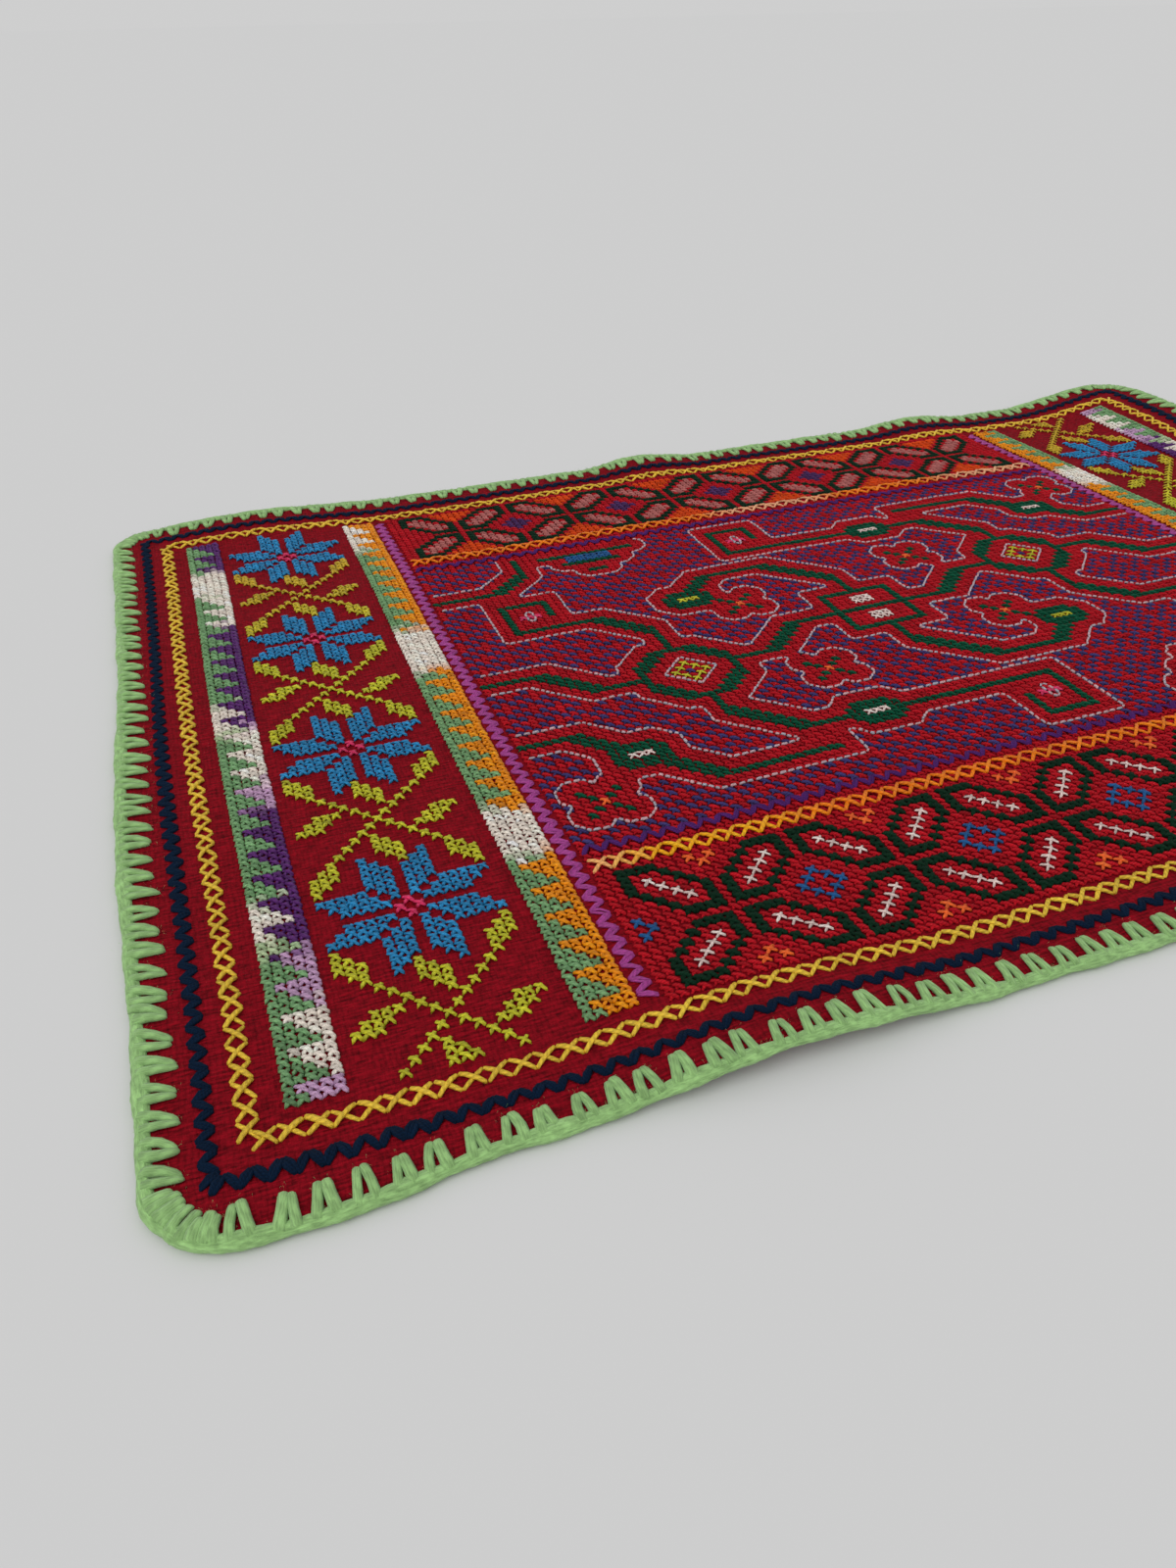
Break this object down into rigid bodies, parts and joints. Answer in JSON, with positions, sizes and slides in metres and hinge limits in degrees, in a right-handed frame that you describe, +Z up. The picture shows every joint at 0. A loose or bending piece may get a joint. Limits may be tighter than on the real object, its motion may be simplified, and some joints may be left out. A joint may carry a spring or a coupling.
{
  "type": "embroidered ceremonial cloth",
  "caption": "Small rectangular embroidered cloth lying flat, its low wavy rim bound in green wool worked over the cut edge.",
  "frame": {"origin": "middle of the outline in plan, on the surface the cloth lies on", "axes": "+X along the long side, +Y along the short side away from the near edge, +Z up from the resting face"},
  "size_m": [0.5262, 0.3588, 0.0104],
  "materials": {
    "woven_ground": "matt plain-woven cotton",
    "wool_edging": "soft hairy wool",
    "embroidery": "soft stranded cotton thread"
  },
  "bodies": {
    "root": {"cloth": "woven_ground", "edging": "wool_edging"}
  },
  "joints": []
}
